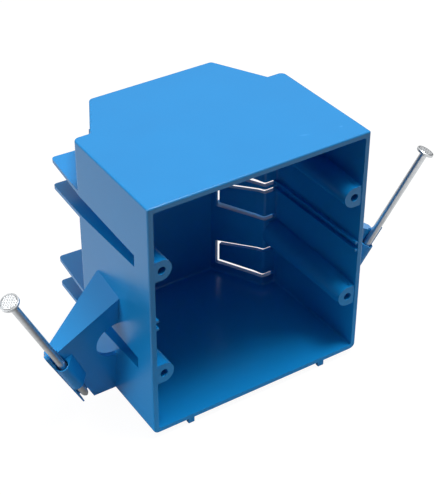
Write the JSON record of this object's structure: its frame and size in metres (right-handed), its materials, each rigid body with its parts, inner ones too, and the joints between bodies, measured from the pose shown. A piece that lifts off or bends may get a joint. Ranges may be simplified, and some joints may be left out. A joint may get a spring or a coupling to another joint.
{
  "type": "nail-on outlet box",
  "caption": "Moulded plastic outlet box with an open front, screw bosses, clamp tabs, coring fins and a nail held ready in a bracket on each side.",
  "frame": {"origin": "centre of the device screw holes, in the plane of the rim", "axes": "+X along the two device screws of one gang, +Y from the rim into the box, +Z away from the stud"},
  "size_m": [0.1887, 0.0764, 0.1034],
  "materials": {
    "moulding": "satin moulded blue plastic",
    "nail_steel": "bright zinc coat"
  },
  "bodies": {
    "box": {"outlet_box": "moulding"},
    "left_nail": {"nail_left": "nail_steel"},
    "right_nail": {"nail_right": "nail_steel"}
  },
  "joints": [
    {"name": "left_nail_slide", "type": "slide", "parent": "box", "child": "left_nail", "axis": [0.4368, 0.1562, -0.8859], "range_m": [0, 0.0355]},
    {"name": "right_nail_slide", "type": "slide", "parent": "box", "child": "right_nail", "axis": [-0.4368, 0.1562, -0.8859], "range_m": [0, 0.0355]}
  ]
}
